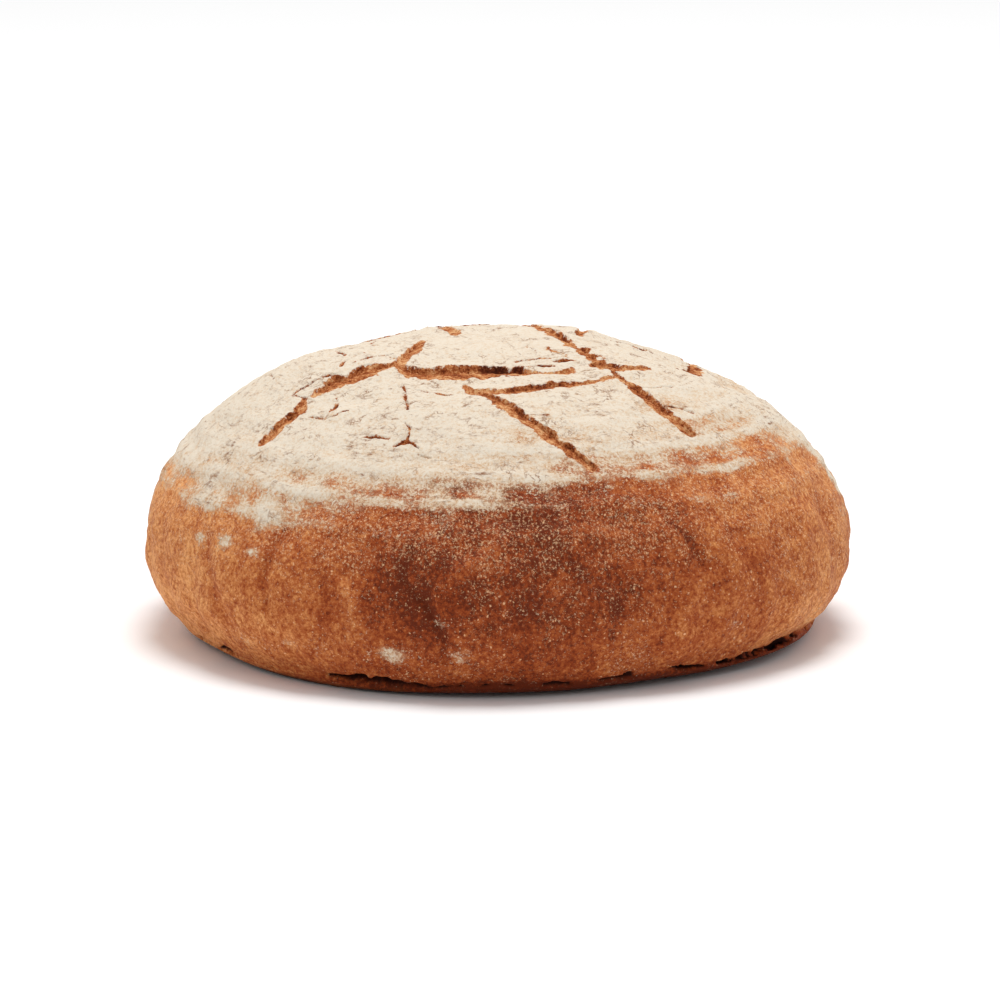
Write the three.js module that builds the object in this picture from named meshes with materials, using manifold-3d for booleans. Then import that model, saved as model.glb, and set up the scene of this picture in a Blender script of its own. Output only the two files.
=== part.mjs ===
// A round sourdough loaf, baked as one piece on a flat hearth: a domed boule with blade scores opened
// across its crown, a low swelling belly, and a thin foot of bottom crust parted from the side by a seam.
// Millimetres, +Z up. The origin is at the middle of the flat sole, on the surface that the loaf rests on.
// +X runs along the loaf's longest width, and the widest scores open towards -Y.

import * as THREE from "three";
import { mergeVertices } from "three/addons/utils/BufferGeometryUtils.js";
import Module from "manifold-3d";

// Driving dimensions
const loafWidth = 240; // across X, at the belly
const loafDepth = 234; // across Y, at the belly
const loafHeight = 100; // sole to crown
const bellyHeight = 29; // where the loaf is widest
const soleRadius = 98; // the flat that it stands on

// The foot: the rim of bottom crust around the sole, and the seam above it
const footRadius = 107;
const footHeight = 4;
const seamHeight = 5.5;
const seamOpening = 2.4;
const seamDepth = 3.5;

// How far the round is from true, from proofing by hand: swells of the crown and a lobed outline
const lobes = [
  { count: 2, swell: 0.006, turn: 0.4 },
  { count: 3, swell: 0.007, turn: 2.1 },
  { count: 5, swell: 0.003, turn: 0.9 },
];
const crownSwells = [
  { x: -62, y: -8, rise: 3.2, reach: 38 },
  { x: 58, y: 10, rise: -2.0, reach: 34 },
  { x: 12, y: 62, rise: 1.6, reach: 36 },
];

// Facets
const turnSteps = 72;
const domeSteps = 16;
const underSteps = 5;
const scoreSides = 8;
const scoreStep = 6;
const seamSteps = 12;

const loafRadius = loafWidth / 2;
const domeRise = loafHeight - bellyHeight;

// ---------------------------------------------------------------- the outside shape

// Radius of the lobed outline at an angle, as a share of a true circle's.
function outline(angle) {
  const across = Math.hypot(Math.cos(angle), (loafDepth / loafWidth) * Math.sin(angle));
  return lobes.reduce(
    (share, lobe) => share + lobe.swell * Math.cos(lobe.count * (angle - lobe.turn)),
    across,
  );
}

// Rise or fall of the crown from a true dome, which fades out down to the belly.
function crownSwell(x, y) {
  return crownSwells.reduce((sum, swell) => {
    const away = Math.hypot(x - swell.x, y - swell.y) / swell.reach;
    return sum + swell.rise * Math.exp(-away * away);
  }, 0);
}

// Height of the true dome at a share of the way out from its middle to the belly.
function domeHeight(share) {
  return domeRise * Math.sqrt(Math.max(0, 1 - share * share));
}

// The point of the crown's surface over a point of the plan.
function crownPoint(x, y) {
  const share = Math.hypot(x, y) / (loafRadius * outline(Math.atan2(y, x)));
  const height = domeHeight(share);
  return new THREE.Vector3(x, y, bellyHeight + height + crownSwell(x, y) * (height / domeRise));
}

// The outward direction of the crown's surface over a point of the plan.
function crownNormal(x, y) {
  const step = 0.5;
  const alongX = crownPoint(x + step, y).sub(crownPoint(x - step, y));
  const alongY = crownPoint(x, y + step).sub(crownPoint(x, y - step));
  return alongX.cross(alongY).normalize();
}

// Half of the loaf's section, from the middle of the sole round to the top of the crown.
function loafProfile() {
  const section = new THREE.Path();
  section.moveTo(0, 0);
  section.lineTo(soleRadius, 0);
  section.quadraticCurveTo(footRadius - 0.5, 0.2, footRadius, footHeight);
  section.lineTo(footRadius + 1.5, seamHeight);
  section.bezierCurveTo(
    loafRadius - 5, seamHeight + 5,
    loafRadius, bellyHeight - 12,
    loafRadius, bellyHeight,
  );
  const below = section.getPoints(underSteps);
  const dome = [];
  for (let i = 1; i <= domeSteps; i++) {
    const around = (i / domeSteps) * (Math.PI / 2);
    dome.push(new THREE.Vector2(loafRadius * Math.cos(around), bellyHeight + domeRise * Math.sin(around)));
  }
  dome.at(-1).x = 0;
  return [...below, ...dome];
}

function loafBody() {
  const body = new THREE.LatheGeometry(loafProfile(), turnSteps);
  body.rotateX(Math.PI / 2); // the lathe turns about Y
  const place = body.getAttribute("position");
  for (let i = 0; i < place.count; i++) {
    const angle = Math.atan2(place.getY(i), place.getX(i));
    const share = outline(angle);
    const x = place.getX(i) * share;
    const y = place.getY(i) * share;
    const height = place.getZ(i);
    const fade = Math.max(0, (height - bellyHeight) / domeRise);
    place.setXYZ(i, x, y, height + crownSwell(x, y) * fade);
  }
  return body;
}

// ---------------------------------------------------------------- scores and seam

// A closed lens that follows a line on the loaf's surface and narrows to a point at both ends. It is
// what a score or seam takes out: "opening" is its width at the surface, and "depth" how far it goes in.
function lensAlong(line, outwardAt, opening, depth, steps) {
  const lens = new THREE.SphereGeometry(1, scoreSides, steps);
  const place = lens.getAttribute("position");
  const spot = new THREE.Vector3();
  for (let i = 0; i < place.count; i++) {
    const along = THREE.MathUtils.clamp((1 + place.getY(i)) / 2, 0, 1);
    const centre = line.getPoint(along);
    const outward = outwardAt(centre);
    const sideways = line.getTangent(along).cross(outward).normalize();
    spot.copy(centre)
      .addScaledVector(sideways, place.getX(i) * (opening / 2))
      .addScaledVector(outward, place.getZ(i) * depth);
    place.setXYZ(i, spot.x, spot.y, spot.z);
  }
  return lens;
}

// The blade's cuts, a crosshatch that opened unevenly in the oven. Each goes through its points of the
// plan, and the widest are where two cuts cross.
const scores = {
  crossFront: { points: [[-33, -20], [-21, -35], [-6, -39], [10, -37], [25, -32]], opening: 9, depth: 3.4 },
  crossFrontRight: { points: [[31, -28], [38, -23], [50, -17]], opening: 5, depth: 2.4 },
  crossLower: { points: [[-11, -50], [2, -53], [18, -47], [36, -38]], opening: 5, depth: 2.6 },
  slantFront: { points: [[-9, -53], [3, -64], [14, -76], [31, -87]], opening: 6, depth: 3.0 },
  slantRight: { points: [[43, -33], [52, -46], [64, -61]], opening: 5.5, depth: 3.0 },
  slantBack: { points: [[8, 32], [18, 8], [24, -10], [34, -29]], opening: 5, depth: 3.0 },
  slantFarBack: { points: [[30, 14], [28, 32], [18, 54]], opening: 4.5, depth: 2.6 },
  slantLeft: { points: [[-26, 4], [-30, -8], [-32, -20]], opening: 4.5, depth: 2.6 },
  crossLeft: { points: [[-35, -21], [-46, -26], [-60, -31]], opening: 8, depth: 3.2 },
  crossFarLeft: { points: [[-63, -35], [-67, -43], [-79, -49]], opening: 4.5, depth: 2.6 },
  slantCrown: { points: [[-14, 10], [-17, 26], [-27, 46]], opening: 5, depth: 2.8 },
  crossBack: { points: [[46, 40], [14, 50], [-14, 47], [-44, 34]], opening: 6, depth: 3.0 },
};

function scoreCut({ points, opening, depth }) {
  const line = new THREE.CatmullRomCurve3(points.map(([x, y]) => crownPoint(x, y)));
  const steps = Math.max(scoreSides, Math.round(line.getLength() / scoreStep));
  return lensAlong(line, (at) => crownNormal(at.x, at.y), opening, depth, steps);
}

// Where the side crust tore away from the bottom crust as the loaf sprang.
const seamStretches = [
  { from: -148, to: -96 },
  { from: -90, to: -26 },
  { from: 60, to: 118 },
];

class SeamLine extends THREE.Curve {
  constructor({ from, to }) {
    super();
    this.from = THREE.MathUtils.degToRad(from);
    this.to = THREE.MathUtils.degToRad(to);
  }

  getPoint(t) {
    const angle = THREE.MathUtils.lerp(this.from, this.to, t);
    const reach = (footRadius + 1.5) * outline(angle);
    return new THREE.Vector3(reach * Math.cos(angle), reach * Math.sin(angle), seamHeight);
  }
}

function seamCut(stretch) {
  const outwardAt = (at) => new THREE.Vector3(at.x, at.y, 0).normalize();
  return lensAlong(new SeamLine(stretch), outwardAt, seamOpening, seamDepth, seamSteps);
}

// ---------------------------------------------------------------- cutting the scores out of the loaf

const wasm = await Module();
wasm.setup();

function solidOf(geometry) {
  const bare = geometry.clone();
  bare.deleteAttribute("normal");
  bare.deleteAttribute("uv");
  const merged = mergeVertices(bare, 1e-3);
  return new wasm.Manifold(new wasm.Mesh({
    numProp: 3,
    vertProperties: merged.getAttribute("position").array,
    triVerts: new Uint32Array(merged.index.array),
  }));
}

function geometryOf(solid) {
  const { vertProperties, triVerts } = solid.getMesh();
  const geometry = new THREE.BufferGeometry();
  geometry.setAttribute("position", new THREE.BufferAttribute(vertProperties, 3));
  geometry.setIndex(new THREE.BufferAttribute(triVerts, 1));
  return geometry;
}

const cuts = [...Object.values(scores).map(scoreCut), ...seamStretches.map(seamCut)];
const loafSolid = cuts.reduce((left, cut) => left.subtract(solidOf(cut)), solidOf(loafBody()));
const loafGeometry = geometryOf(loafSolid);

// The lobes and swells shift the outline a little, so the loaf is set back over its origin and brought
// to its stated size.
loafGeometry.computeBoundingBox();
const middle = loafGeometry.boundingBox.getCenter(new THREE.Vector3());
const size = loafGeometry.boundingBox.getSize(new THREE.Vector3());
loafGeometry.translate(-middle.x, -middle.y, 0);
loafGeometry.scale(loafWidth / size.x, loafDepth / size.y, loafHeight / size.z);
loafGeometry.computeVertexNormals();

const bakedCrust = new THREE.MeshStandardMaterial({ color: 0xb4683c, roughness: 0.85, metalness: 0 });
const loaf = new THREE.Mesh(loafGeometry, bakedCrust);
loaf.name = "loaf";

const part = new THREE.Group();
part.add(loaf);

export default part;
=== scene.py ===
import math

import bmesh
import bpy
import numpy as np
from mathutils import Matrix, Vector, noise


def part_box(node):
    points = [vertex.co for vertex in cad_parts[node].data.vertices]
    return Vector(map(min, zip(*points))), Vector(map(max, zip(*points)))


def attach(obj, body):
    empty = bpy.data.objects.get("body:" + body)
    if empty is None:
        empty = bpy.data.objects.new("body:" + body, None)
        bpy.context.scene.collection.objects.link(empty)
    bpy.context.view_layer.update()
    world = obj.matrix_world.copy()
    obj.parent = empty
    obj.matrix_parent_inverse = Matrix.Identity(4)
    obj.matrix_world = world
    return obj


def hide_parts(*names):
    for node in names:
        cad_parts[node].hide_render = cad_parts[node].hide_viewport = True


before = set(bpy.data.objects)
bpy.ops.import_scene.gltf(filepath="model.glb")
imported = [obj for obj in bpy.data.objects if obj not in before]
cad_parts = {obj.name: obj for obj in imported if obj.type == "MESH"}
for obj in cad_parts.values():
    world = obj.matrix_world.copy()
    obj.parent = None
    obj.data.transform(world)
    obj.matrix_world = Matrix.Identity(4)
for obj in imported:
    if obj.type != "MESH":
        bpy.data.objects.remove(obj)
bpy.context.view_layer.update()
loafLow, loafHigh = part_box("loaf")
mm = 0.001

# Lengths of the loaf are worked in millimetres, and become metres when the mesh is finished
loafWidth = (loafHigh.x - loafLow.x) / mm
loafDepth = (loafHigh.y - loafLow.y) / mm
loafHeight = (loafHigh.z - loafLow.z) / mm


def linearColour(hexColour):
    channels = [int(hexColour[i:i + 2], 16) / 255 for i in (1, 3, 5)]
    return [c / 12.92 if c <= 0.04045 else ((c + 0.055) / 1.055) ** 2.4 for c in channels] + [1.0]


def addNode(tree, kind, inputs=None, **settings):
    node = tree.nodes.new("ShaderNode" + kind)
    for name, value in settings.items():
        if name == "stops":  # a colour ramp's places and colours
            while len(node.color_ramp.elements) < len(value):
                node.color_ramp.elements.new(0.5)
            for stop, (place, hexColour) in zip(node.color_ramp.elements, value):
                stop.position = place
                stop.color = linearColour(hexColour)
        else:
            setattr(node, name, value)
    for name, value in (inputs or {}).items():
        if isinstance(value, str):  # a hex colour
            value = linearColour(value)
        if isinstance(value, bpy.types.Node):  # a node stands for the first output that it uses
            value = next(output for output in value.outputs if output.enabled)
        if isinstance(value, bpy.types.NodeSocket):
            tree.links.new(value, node.inputs[name])
        else:
            node.inputs[name].default_value = value
    return node


cameraView = {
    "lens": 200,  # mm, long enough that the loaf hardly tapers
    "sensor": 36,  # mm
    "elevation": 12,  # degrees above the table
    "loafFills": 0.704,  # share of the picture's width
    "aim": Vector((0.0003, 0, 0.0436)),  # metres, just under the middle of the loaf
}


def makeCamera(view):
    data = bpy.data.cameras.new("camera")
    data.lens = view["lens"]
    data.sensor_width = view["sensor"]
    camera = bpy.data.objects.new("camera", data)
    bpy.context.scene.collection.objects.link(camera)
    tilt = math.radians(view["elevation"])
    back = Vector((0, -math.cos(tilt), math.sin(tilt)))
    distance = (loafHigh.x - loafLow.x) / view["loafFills"] * view["lens"] / view["sensor"]
    camera.location = view["aim"] + back * distance
    camera.rotation_mode = "QUATERNION"
    camera.rotation_quaternion = (-back).to_track_quat("-Z", "Y")
    bpy.context.scene.camera = camera


makeCamera(cameraView)
print("camera made")

studio = {
    "lightFrom": Vector((-0.05, 0.36, 0.93)),  # above and a little behind, so that the front falls off
    "colour": "#ffffff",
    "roomLow": 0.215,  # the room's strength away from the light
    "roomHigh": 0.86,  # and towards it
    "overhead": {"place": (0.05, 0.1, 2.6), "size": 1.2, "power": 38},  # metres and watts
}


def makeStudio(settings):
    world = bpy.data.worlds.new("studioRoom")
    bpy.context.scene.world = world
    world.use_nodes = True
    tree = world.node_tree
    tree.nodes.clear()
    way = addNode(tree, "TexCoord").outputs["Generated"]
    toward = addNode(tree, "VectorMath", {0: way, 1: settings["lightFrom"]}, operation="DOT_PRODUCT")
    glow = addNode(tree, "MapRange", {
        "Value": toward, "From Min": -1.0, "To Min": settings["roomLow"], "To Max": settings["roomHigh"],
    })
    room = addNode(tree, "Background", {"Color": settings["colour"], "Strength": glow})
    addNode(tree, "OutputWorld", {"Surface": room})
    softbox = settings["overhead"]
    light = bpy.data.lights.new("overhead", "AREA")
    light.shape = "DISK"
    light.size = softbox["size"]
    light.energy = softbox["power"]
    lamp = bpy.data.objects.new("overhead", light)
    lamp.location = softbox["place"]
    lamp.rotation_mode = "QUATERNION"
    lamp.rotation_quaternion = (-Vector(softbox["place"])).to_track_quat("-Z", "Y")
    bpy.context.scene.collection.objects.link(lamp)
    bpy.context.scene.view_settings.view_transform = "Standard"


makeStudio(studio)

floorSheet = {"halfWidth": 6.0, "colour": "#fbfbfb", "roughness": 0.9}  # metres


def makeFloor(settings):
    grid = bmesh.new()
    bmesh.ops.create_grid(grid, x_segments=1, y_segments=1, size=settings["halfWidth"])
    data = bpy.data.meshes.new("floor")
    grid.to_mesh(data)
    grid.free()
    floor = bpy.data.objects.new("floor", data)
    bpy.context.scene.collection.objects.link(floor)
    paper = bpy.data.materials.new("mattPaper")  # a white paper sweep: no gloss, no grain at this distance
    paper.use_nodes = True
    shader = paper.node_tree.nodes["Principled BSDF"]
    shader.inputs["Base Color"].default_value = linearColour(settings["colour"])
    shader.inputs["Roughness"].default_value = settings["roughness"]
    shader.inputs["Specular IOR Level"].default_value = 0.0
    data.materials.append(paper)


makeFloor(floorSheet)
print("studio made")


# Angles round the loaf are in degrees, 0 at +X and -90 at the front. A list of bumps round it holds an
# angle, a spread in degrees and a height for each, and a list of waves a count, a turn and a height.
loafForm = {
    "bellyHeight": 29,  # mm, where the loaf is widest
    "fullness": 2.12,  # 2 is a true dome, more is fuller at the shoulders
    "lobes": [(2, 0.006, 0.4), (3, 0.007, 2.1), (5, 0.003, 0.9)],  # count, swell, turn
    # x, y, rise and reach of the crown's swells, in mm
    "swells": [
        (-88, -6, 8.1, 34), (-52, 0, 1.6, 30), (64, 8, -0.5, 30), (86, -8, 1.2, 24), (99, -4, 1.6, 13),
        (0, 44, 1.6, 44), (70, -58, -1.0, 30), (76, 12, -4.2, 16), (-84, 6, -3.8, 15), (26, 26, 0.8, 30),
    ],
    # angle, height, rise and reach of the side's swells, in mm
    "sideSwells": [(180, 13, -2.6, 14), (-158, 14, -1.0, 18), (0, 14, -0.3, 12)],
    "swellArm": 60,  # mm, turns an angle round the side into a distance from a swell
}
bellyHeight = loafForm["bellyHeight"]

# The foot of bottom crust and the seam above it, in mm. Going in under the loaf from belly to sole's
# middle, the seam and the foot's edge lie at a share of the way.
footForm = {
    "seamShare": 0.25,
    "footShare": 0.3,
    "seamReach": 109.5,
    "seamPulls": [(-95, 45, 2.6), (88, 45, 2.6), (-150, 22, -2.0)],
    "seamHeight": 4.4,
    "seamLifts": [(-24, 22, 2.6), (-92, 30, 0.9)],
    "seamWaves": [(5, 1, 0.35), (11, 0, 0.3)],
    "footReach": 105.5,
    "footPulls": [(-95, 45, 3.6), (88, 45, 3.6), (-152, 22, -5.0), (-128, 14, -1.5)],
    "footWaves": [(3, 2, 0.7), (7, 0, 0.5)],
    # where the bottom crust curls off the hearth
    "footLifts": [(-32, 22, 2.4), (-60, 12, 1.0), (-150, 16, 0.8), (-90, 24, 2.0), (70, 20, 1.5),
                  (140, 14, 1.2)],
    "footBulge": 0.5,
    "footBulges": [(-30, 16, 2.4)],
    "bellyBend": 12,  # how far the side's curve runs straight down from the belly
    "seamBend": (5.0, 5.5),  # and how far out and up it is bent where it comes in to the seam
    "curlEnds": 5,  # the sole lies flat from a fifth of the way in
}


def smoothStep(low, high, value):
    share = np.clip((value - low) / (high - low), 0, 1)
    return share * share * (3 - 2 * share)


def bump(value, middle, reach):
    return np.exp(-((value - middle) / reach) ** 2)


def turnAway(angle, middle):
    # degrees between an angle in radians and a middle in degrees, the short way round
    return (np.degrees(angle) - middle + 180) % 360 - 180


def bumpsRound(angle, bumps):
    return sum(height * bump(turnAway(angle, middle), 0, spread) for middle, spread, height in bumps)


def wavesRound(angle, waves):
    return sum(height * np.sin(count * angle + turn) for count, turn, height in waves)


def outline(angle):
    # Reach of the lobed outline, as a share of a true circle's
    across = np.hypot(np.cos(angle), loafDepth / loafWidth * np.sin(angle))
    for count, swell, turn in loafForm["lobes"]:
        across = across + swell * np.cos(count * (angle - turn))
    return across


def shareOfDome(height):
    # 0 at the belly and 1 at the crown
    return np.clip((height - bellyHeight) / (loafHeight - bellyHeight), 0, 1)


def crownHeight(x, y):
    angle = np.arctan2(y, x)
    share = np.clip(np.hypot(x, y) / (loafWidth / 2 * outline(angle)), 0, 1)
    power = loafForm["fullness"]
    dome = (1 - share ** power) ** (1 / power)
    height = bellyHeight + (loafHeight - bellyHeight) * dome
    for swellX, swellY, rise, reach in loafForm["swells"]:
        height = height + rise * dome * np.exp(-((x - swellX) ** 2 + (y - swellY) ** 2) / reach ** 2)
    return height


def seamHeightAt(angle):
    lifted = bumpsRound(angle, footForm["seamLifts"])
    return footForm["seamHeight"] + lifted + wavesRound(angle, footForm["seamWaves"])


def underSide(share, angle):
    # Reach and height from the belly in under the loaf: down the side to the seam, round the foot, and in
    # along the sole
    seamShare = footForm["seamShare"]
    footShare = footForm["footShare"]
    level = np.zeros_like(share)
    belly = np.stack([level + loafWidth / 2, level + bellyHeight])
    seam = np.stack([footForm["seamReach"] + bumpsRound(angle, footForm["seamPulls"]), seamHeightAt(angle)])
    down = np.clip(share / seamShare, 0, 1)
    bendHigh = belly - np.stack([level, level + footForm["bellyBend"]])
    bendLow = seam + np.stack([level + footForm["seamBend"][0], level + footForm["seamBend"][1]])
    side = ((1 - down) ** 3 * belly + 3 * (1 - down) ** 2 * down * bendHigh
            + 3 * (1 - down) * down ** 2 * bendLow + down ** 3 * seam)
    around = np.clip((share - seamShare) / (footShare - seamShare), 0, 1)
    lift = bumpsRound(angle, footForm["footLifts"])
    footEdge = (footForm["footReach"] + bumpsRound(angle, footForm["footPulls"])
                + wavesRound(angle, footForm["footWaves"]))
    bulge = footForm["footBulge"] + bumpsRound(angle, footForm["footBulges"])
    foot = np.stack([
        seam[0] + (footEdge - seam[0]) * around ** 1.2 + bulge * np.sin(math.pi * around) ** 0.8,
        lift + (seam[1] - lift) * (1 - around),
    ])
    inward = np.clip((share - footShare) / (1 - footShare), 0, 1)
    sole = np.stack([footEdge * (1 - inward), lift * np.clip(1 - inward * footForm["curlEnds"], 0, 1)])
    place = np.where(share < seamShare, side, np.where(share < footShare, foot, sole))
    return place[0], place[1]


def pressToLoaf(cube):
    # Points of a cube from -1 to 1 become points of the loaf, in mm
    spread = np.tan(cube * math.pi / 4)
    way = spread / np.linalg.norm(spread, axis=1)[:, None]
    angle = np.arctan2(way[:, 1], way[:, 0])
    rise = np.arcsin(np.clip(way[:, 2], -1, 1))
    reach, height = underSide(np.clip(-rise, 0, None) / (math.pi / 2), angle)
    upper = rise >= 0
    domeReach = loafWidth / 2 * np.cos(np.clip(rise, 0, None)) ** (2 / loafForm["fullness"])
    reach = np.where(upper, domeReach, reach) * outline(angle)
    place = np.stack([reach * np.cos(angle), reach * np.sin(angle), height], 1)
    place[upper, 2] = crownHeight(place[upper, 0], place[upper, 1])
    for swellAngle, swellHeight, out, far in loafForm["sideSwells"]:
        along = np.radians(turnAway(angle, swellAngle)) * loafForm["swellArm"]
        away = np.hypot(along, place[:, 2] - swellHeight)
        place[:, :2] *= (1 + out * bump(away, 0, far) / (loafWidth / 2))[:, None]
    return place


# Blade cuts. Each point is x, y and the width of the cut there, in mm. The ear is the side whose crust
# lifts, 1 for the left of the line's way and -1 for the right. What isn't said is as usual in scoreCut.
scores = {
    "crossFront": {
        "points": [(-32, -30, 3), (-25, -36, 9), (-15, -39, 13), (-2, -37.5, 10), (7, -36, 6.5),
                   (13, -36, 3), (18, -36, 2), (25, -33, 3), (26, -29, 1)],
        "depth": 2.2, "broken": 0.15, "burntAndShaded": 0.2, "shadedAndScorched": (2, 11, 0.6),
    },
    "crossLower": {
        "points": [(-10, -49, 2), (-7, -53, 3.5), (2, -53.5, 6), (10, -51, 5), (19, -47, 4.5),
                   (30, -41.5, 2.5), (40, -34, 1.5)],
        "depth": 1.2,
    },
    "slantFront": {
        "points": [(-9, -53, 2), (-2, -58.5, 3), (5, -66.5, 6), (12, -73, 4.5), (18, -79, 5.5),
                   (25, -84.5, 3.5), (32, -87, 3)],
    },
    "slantRight": {"points": [(40, -31, 1.5), (46, -38, 4), (52, -46, 5.5), (58.5, -51, 5), (64.5, -56, 4)]},
    "crossRight": {"points": [(34, -24, 5), (39, -26, 5.5), (45, -25, 4), (51, -21, 2)]},
    "slantMiddle": {
        "points": [(9, 29, 3), (16, 17, 4), (22.5, 3, 4), (28, -9, 3.5), (33, -19, 5), (36, -27, 3.5)],
        "depth": 1.2, "broken": 1.1,
    },
    "slantLeft": {
        "points": [(-25, 2, 2), (-27, -8, 4.5), (-29.5, -19, 4.5), (-33, -29, 4)],
        "depth": 1.3, "ear": -1,
    },
    "crossLeft": {
        "points": [(-34, -28, 4), (-40, -31, 8), (-48, -33, 9), (-55, -36, 6), (-61, -39, 3)],
        "ear": -1,
    },
    "crossFarLeft": {
        "points": [(-64, -40, 2), (-66, -46, 4), (-71, -51, 4.5), (-77, -56, 2)],
        "depth": 1.2, "ear": -1,
    },
    "slantCrown": {"points": [(-14, 9, 2), (-15, 22, 4.5), (-20, 36, 4), (-27, 48, 2)]},
    "slantBack": {"points": [(29, 13, 2), (30, 28, 4.5), (25, 42, 4), (18, 55, 2)]},
    "crossBack": {
        "points": [(48, 38, 2), (31, 45, 4), (12, 50, 7), (-10, 48, 9), (-30, 42, 5), (-46, 33, 2)],
        "depth": 2.4, "ear": -1,
    },
    "crossFarBack": {
        "points": [(38, 66, 2), (20, 73, 5), (0, 75, 6), (-18, 70, 2)],
        "depth": 1.8, "ear": -1,
    },
    "slantFarRight": {"points": [(62, 4, 2), (68, 16, 4.5), (70, 30, 5), (66, 44, 2)]},
    "slantFarLeft": {"points": [(-52, 14, 2), (-58, 30, 4.5), (-60, 46, 4), (-57, 58, 1.5)]},
}

# Fine cracks in the floured skin, where it dried before the loaf had finished rising: x, y and width
cracks = [
    [(-53, -45, 1.4), (-53.4, -51, 1.8), (-57, -57, 1)],
    [(-68, -35, 0.7), (-64.5, -38, 1.1), (-61, -42, 0.8)],
    [(-31.3, -44, 0.8), (-29.7, -51.6, 1.2), (-29.6, -58, 1), (-28.6, -64, 1.2)],
    [(-27.6, -50.8, 0.9), (-21, -53, 1.2), (-17.6, -55.8, 1.8), (-14, -55, 0.8)],
    [(-42.6, -72, 0.9), (-38, -74.5, 2), (-35, -76.4, 1)],
    [(-33, -80, 1), (-29, -79, 1.8), (-25, -82.5, 0.9)],
    [(-29, -79, 0.6), (-28, -74, 0.9), (-29.5, -71, 0.5)],
    [(-25, -85, 0.8), (-21, -87, 1.2)],
    [(13, -69, 1), (17.6, -68, 1)],
    [(-54, -5, 1.2), (-53, -9, 1.8), (-51, -14, 1)],
    [(-77, -10, 0.8), (-75, -19, 1.2)],
    [(-36, -17, 1), (-35, -20, 1.6), (-32.5, -23, 1)],
    [(-44, -14, 1), (-50, -19, 1.4), (-52, -24, 0.8)],
    [(7, -29, 0.8), (13, -24.5, 1.2), (19, -23.5, 1), (24, -21, 1.4)],
    [(9, -33, 0.8), (14, -31, 1.3), (20, -29.5, 0.9)],
    [(18, -11, 1.2), (19, -15, 2.8), (24, -18.5, 1.8)],
    [(20, -26, 0.8), (25, -23.5, 1.7), (31, -22, 1)],
    [(-52, -28, 0.8), (-59, -29.5, 1.4), (-68, -34, 0.7)],
    [(-34, -16, 0.8), (-41, -18, 1.6), (-48, -23, 1)],
    [(13, -5, 0.7), (11, -12, 1), (14, -18, 0.8)],
    [(44, -38, 0.7), (52, -36, 1), (60, -30, 0.8)],
    [(55, -47, 0.8), (60, -44, 1.2), (66, -44, 0.8)],
    [(-62, -52, 0.7), (-55, -57, 1), (-49, -56, 0.7)],
    [(-20, 58, 0.8), (-8, 62, 1.3), (6, 60, 0.8)],
    [(40, 18, 0.8), (50, 22, 1.4), (54, 31, 0.8)],
    [(-40, 20, 0.8), (-44, 8, 1.2), (-41, -4, 0.8)],
    [(74, -6, 0.8), (82, -10, 1.2), (88, -4, 0.7)],
    [(-80, 30, 0.8), (-72, 44, 1.3), (-70, 56, 0.8)],
    [(30, 80, 0.8), (44, 74, 1.2), (52, 64, 0.8)],
]

# Folds and dents of the side, where the dough was tucked under: the lift, above 0 for a fold and below 0
# for a dent, and the points. Each point is the angle round the loaf, the height and the width in mm.
folds = [
    (1.3, [(-89, 52, 4), (-94, 46, 5), (-99, 38, 5), (-98, 30, 4)]),
    (-1.2, [(-104, 50, 3), (-105, 42, 3), (-101.5, 34, 2.4), (-98.5, 24, 1.8), (-98, 14, 1.6)]),
    (-1.1, [(-131, 62, 3), (-128.5, 53, 4), (-130, 40, 3), (-129, 28, 3)]),
    (1.1, [(-115, 38, 4), (-112.5, 28, 5), (-114, 18, 4)]),
    (-0.7, [(-120, 44, 4), (-118, 32, 5), (-119, 20, 4)]),
    (-1.2, [(-60, 63, 4), (-57, 54, 4), (-53, 42, 3)]),
    (0.6, [(-49, 50, 6), (-46, 36, 7), (-48, 22, 6)]),
    (-0.6, [(-72, 48, 6), (-69, 34, 7), (-71, 20, 5)]),
    (-1.0, [(-145, 46, 6), (-142, 32, 7), (-138, 18, 5)]),
    (-0.6, [(-20, 56, 5), (-17, 42, 6), (-19, 26, 5)]),
    (0.8, [(20, 54, 5), (24, 40, 6), (22, 24, 5)]),
    (-0.9, [(48, 58, 4), (44, 44, 4), (46, 28, 3)]),
    (0.8, [(75, 50, 5), (79, 38, 6), (77, 20, 5)]),
    (-1.0, [(98, 56, 3), (101, 42, 3), (99, 24, 2.4)]),
    (0.7, [(126, 52, 6), (122, 38, 7), (125, 22, 5)]),
    (-0.8, [(155, 48, 4), (158, 36, 5), (156, 20, 4)]),
]


def smoothLine(points, step):
    # A Catmull-Rom line through the points, whose last value is the width
    rows = np.array(points, float)
    rows = np.vstack([2 * rows[0] - rows[1], rows, 2 * rows[-1] - rows[-2]])
    line = []
    for before, start, end, after in zip(rows, rows[1:], rows[2:], rows[3:]):
        steps = max(2, int(np.linalg.norm((end - start)[:2]) / step))
        share = np.arange(steps)[:, None] / steps
        line.append(0.5 * (2 * start + (end - before) * share
                           + (2 * before - 5 * start + 4 * end - after) * share ** 2
                           + (3 * start - before - 3 * end + after) * share ** 3))
    return np.vstack(line + [rows[-2:-1]])


def overCrown(points):
    # Places along the line and half its width there, in mm
    line = smoothLine(points, step=0.5)
    place = np.stack([line[:, 0], line[:, 1], crownHeight(line[:, 0], line[:, 1])], 1)
    return place, line[:, 2] / 2


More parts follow.
